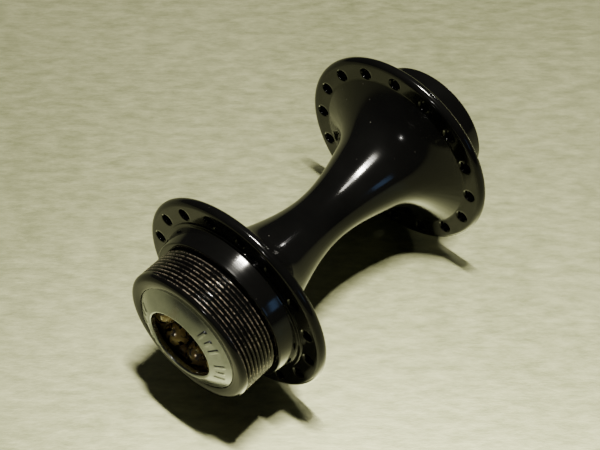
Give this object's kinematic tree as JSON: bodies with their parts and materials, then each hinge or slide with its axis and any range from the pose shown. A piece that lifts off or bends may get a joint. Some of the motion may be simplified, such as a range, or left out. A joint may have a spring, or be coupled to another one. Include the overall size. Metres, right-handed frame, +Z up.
{
  "type": "threaded bicycle rear hub",
  "caption": "Black anodised bicycle rear hub shell with spoke flanges, a freewheel thread, polished dust caps and greased cup-and-cone ball bearings.",
  "frame": {"origin": "on the hub's axis, midway between the two boss end faces", "axes": "+Y along the axis from the threaded drive end to the plain end, +Z up as the hub lies on its two flanges, +X to its side"},
  "size_m": [0.0528, 0.0914, 0.0528],
  "materials": {
    "anodised_shell": "glossy black anodised, with bare metal on the thread crests",
    "polished_cap": "polished",
    "cup_steel": "ground and filmed with grease",
    "ball_steel": "polished under a film of amber grease",
    "grease": "wet amber grease"
  },
  "bodies": {
    "shell": {"hub_shell": "anodised_shell", "drive_cup": "cup_steel", "plain_cup": "cup_steel", "drive_dust_cap": "polished_cap", "plain_dust_cap": "polished_cap"},
    "drive_ball_ring": {"drive_grease_ring": "grease"},
    "drive_ball_1": {"drive_ball_1": "ball_steel"},
    "drive_ball_2": {"drive_ball_2": "ball_steel"},
    "drive_ball_3": {"drive_ball_3": "ball_steel"},
    "drive_ball_4": {"drive_ball_4": "ball_steel"},
    "drive_ball_5": {"drive_ball_5": "ball_steel"},
    "drive_ball_6": {"drive_ball_6": "ball_steel"},
    "drive_ball_7": {"drive_ball_7": "ball_steel"},
    "drive_ball_8": {"drive_ball_8": "ball_steel"},
    "drive_ball_9": {"drive_ball_9": "ball_steel"},
    "plain_ball_ring": {"plain_grease_ring": "grease"},
    "plain_ball_1": {"plain_ball_1": "ball_steel"},
    "plain_ball_2": {"plain_ball_2": "ball_steel"},
    "plain_ball_3": {"plain_ball_3": "ball_steel"},
    "plain_ball_4": {"plain_ball_4": "ball_steel"},
    "plain_ball_5": {"plain_ball_5": "ball_steel"},
    "plain_ball_6": {"plain_ball_6": "ball_steel"},
    "plain_ball_7": {"plain_ball_7": "ball_steel"},
    "plain_ball_8": {"plain_ball_8": "ball_steel"},
    "plain_ball_9": {"plain_ball_9": "ball_steel"}
  },
  "joints": [
    {"name": "drive_ball_ring_roll", "type": "hinge", "parent": "shell", "child": "drive_ball_ring", "pos_m": [0, -0.0399, 0], "axis": [0, 1, 0], "continuous": true},
    {"name": "drive_ball_1_spin", "type": "hinge", "parent": "drive_ball_ring", "child": "drive_ball_1", "pos_m": [0.00857, -0.0399, 0.00495], "axis": [-0.6124, 0.7071, -0.3536], "continuous": true},
    {"name": "drive_ball_2_spin", "type": "hinge", "parent": "drive_ball_ring", "child": "drive_ball_2", "pos_m": [0.00339, -0.0399, 0.0093], "axis": [-0.2418, 0.7071, -0.6645], "continuous": true},
    {"name": "drive_ball_3_spin", "type": "hinge", "parent": "drive_ball_ring", "child": "drive_ball_3", "pos_m": [-0.00339, -0.0399, 0.0093], "axis": [0.2418, 0.7071, -0.6645], "continuous": true},
    {"name": "drive_ball_4_spin", "type": "hinge", "parent": "drive_ball_ring", "child": "drive_ball_4", "pos_m": [-0.00857, -0.0399, 0.00495], "axis": [0.6124, 0.7071, -0.3536], "continuous": true},
    {"name": "drive_ball_5_spin", "type": "hinge", "parent": "drive_ball_ring", "child": "drive_ball_5", "pos_m": [-0.00975, -0.0399, -0.00172], "axis": [0.6964, 0.7071, 0.1228], "continuous": true},
    {"name": "drive_ball_6_spin", "type": "hinge", "parent": "drive_ball_ring", "child": "drive_ball_6", "pos_m": [-0.00636, -0.0399, -0.00758], "axis": [0.4545, 0.7071, 0.5417], "continuous": true},
    {"name": "drive_ball_7_spin", "type": "hinge", "parent": "drive_ball_ring", "child": "drive_ball_7", "pos_m": [0, -0.0399, -0.0099], "axis": [0, 0.7071, 0.7071], "continuous": true},
    {"name": "drive_ball_8_spin", "type": "hinge", "parent": "drive_ball_ring", "child": "drive_ball_8", "pos_m": [0.00636, -0.0399, -0.00758], "axis": [-0.4545, 0.7071, 0.5417], "continuous": true},
    {"name": "drive_ball_9_spin", "type": "hinge", "parent": "drive_ball_ring", "child": "drive_ball_9", "pos_m": [0.00975, -0.0399, -0.00172], "axis": [-0.6964, 0.7071, 0.1228], "continuous": true},
    {"name": "plain_ball_ring_roll", "type": "hinge", "parent": "shell", "child": "plain_ball_ring", "pos_m": [0, 0.0399, 0], "axis": [0, 1, 0], "continuous": true},
    {"name": "plain_ball_1_spin", "type": "hinge", "parent": "plain_ball_ring", "child": "plain_ball_1", "pos_m": [0.00968, 0.0399, 0.00206], "axis": [0.6917, 0.7071, 0.147], "continuous": true},
    {"name": "plain_ball_2_spin", "type": "hinge", "parent": "plain_ball_ring", "child": "plain_ball_2", "pos_m": [0.00609, 0.0399, 0.0078], "axis": [0.4353, 0.7071, 0.5572], "continuous": true},
    {"name": "plain_ball_3_spin", "type": "hinge", "parent": "plain_ball_ring", "child": "plain_ball_3", "pos_m": [-0.00035, 0.0399, 0.00989], "axis": [-0.0247, 0.7071, 0.7067], "continuous": true},
    {"name": "plain_ball_4_spin", "type": "hinge", "parent": "plain_ball_ring", "child": "plain_ball_4", "pos_m": [-0.00662, 0.0399, 0.00736], "axis": [-0.4731, 0.7071, 0.5255], "continuous": true},
    {"name": "plain_ball_5_spin", "type": "hinge", "parent": "plain_ball_ring", "child": "plain_ball_5", "pos_m": [-0.0098, 0.0399, 0.00138], "axis": [-0.7002, 0.7071, 0.0984], "continuous": true},
    {"name": "plain_ball_6_spin", "type": "hinge", "parent": "plain_ball_ring", "child": "plain_ball_6", "pos_m": [-0.0084, 0.0399, -0.00525], "axis": [-0.5997, 0.7071, -0.3747], "continuous": true},
    {"name": "plain_ball_7_spin", "type": "hinge", "parent": "plain_ball_ring", "child": "plain_ball_7", "pos_m": [-0.00306, 0.0399, -0.00941], "axis": [-0.2185, 0.7071, -0.6725], "continuous": true},
    {"name": "plain_ball_8_spin", "type": "hinge", "parent": "plain_ball_ring", "child": "plain_ball_8", "pos_m": [0.00371, 0.0399, -0.00918], "axis": [0.2649, 0.7071, -0.6556], "continuous": true},
    {"name": "plain_ball_9_spin", "type": "hinge", "parent": "plain_ball_ring", "child": "plain_ball_9", "pos_m": [0.00874, 0.0399, -0.00465], "axis": [0.6243, 0.7071, -0.332], "continuous": true}
  ],
  "couplings": [
    {"joint": "drive_ball_1_spin", "follows": "drive_ball_ring_roll", "ratio": -3.8252},
    {"joint": "drive_ball_2_spin", "follows": "drive_ball_ring_roll", "ratio": -3.8252},
    {"joint": "drive_ball_3_spin", "follows": "drive_ball_ring_roll", "ratio": -3.8252},
    {"joint": "drive_ball_4_spin", "follows": "drive_ball_ring_roll", "ratio": -3.8252},
    {"joint": "drive_ball_5_spin", "follows": "drive_ball_ring_roll", "ratio": -3.8252},
    {"joint": "drive_ball_6_spin", "follows": "drive_ball_ring_roll", "ratio": -3.8252},
    {"joint": "drive_ball_7_spin", "follows": "drive_ball_ring_roll", "ratio": -3.8252},
    {"joint": "drive_ball_8_spin", "follows": "drive_ball_ring_roll", "ratio": -3.8252},
    {"joint": "drive_ball_9_spin", "follows": "drive_ball_ring_roll", "ratio": -3.8252},
    {"joint": "plain_ball_1_spin", "follows": "plain_ball_ring_roll", "ratio": -3.8252},
    {"joint": "plain_ball_2_spin", "follows": "plain_ball_ring_roll", "ratio": -3.8252},
    {"joint": "plain_ball_3_spin", "follows": "plain_ball_ring_roll", "ratio": -3.8252},
    {"joint": "plain_ball_4_spin", "follows": "plain_ball_ring_roll", "ratio": -3.8252},
    {"joint": "plain_ball_5_spin", "follows": "plain_ball_ring_roll", "ratio": -3.8252},
    {"joint": "plain_ball_6_spin", "follows": "plain_ball_ring_roll", "ratio": -3.8252},
    {"joint": "plain_ball_7_spin", "follows": "plain_ball_ring_roll", "ratio": -3.8252},
    {"joint": "plain_ball_8_spin", "follows": "plain_ball_ring_roll", "ratio": -3.8252},
    {"joint": "plain_ball_9_spin", "follows": "plain_ball_ring_roll", "ratio": -3.8252}
  ]
}
